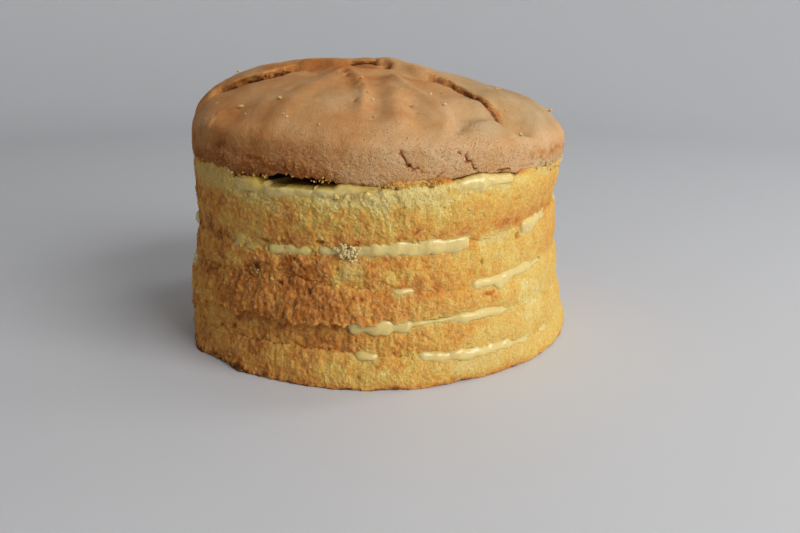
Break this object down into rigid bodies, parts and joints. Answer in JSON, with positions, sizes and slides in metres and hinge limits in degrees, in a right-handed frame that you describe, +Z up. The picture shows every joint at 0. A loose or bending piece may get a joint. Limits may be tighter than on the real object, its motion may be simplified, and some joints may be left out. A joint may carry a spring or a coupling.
{
  "type": "layer cake",
  "caption": "Round layer cake with sponge layers, custard squeezed out between them and a domed, cracked, browned top; it stands on its flat underside.",
  "frame": {"origin": "on the surface that the cake stands on, in the middle of its bounding box", "axes": "+Z up, -Y towards the front that the picture shows, +X to the right seen from the front"},
  "size_m": [0.202, 0.2012, 0.138],
  "materials": {
    "crumb": "matte, porous, golden yellow sponge crumb with browned edges",
    "crust": "matte tan baked crust, finely grained, with redder porous edges and cracks",
    "custard": "smooth, moist, glossy pale yellow custard"
  },
  "bodies": {
    "root": {"sponge_1": "crumb", "custard_1": "custard", "sponge_2": "crumb", "custard_2": "custard", "sponge_3": "crumb", "custard_3": "custard", "sponge_4": "crumb", "custard_4": "custard", "sponge_5": "crumb", "custard_5": "custard", "sponge_top": "crust"}
  },
  "joints": []
}
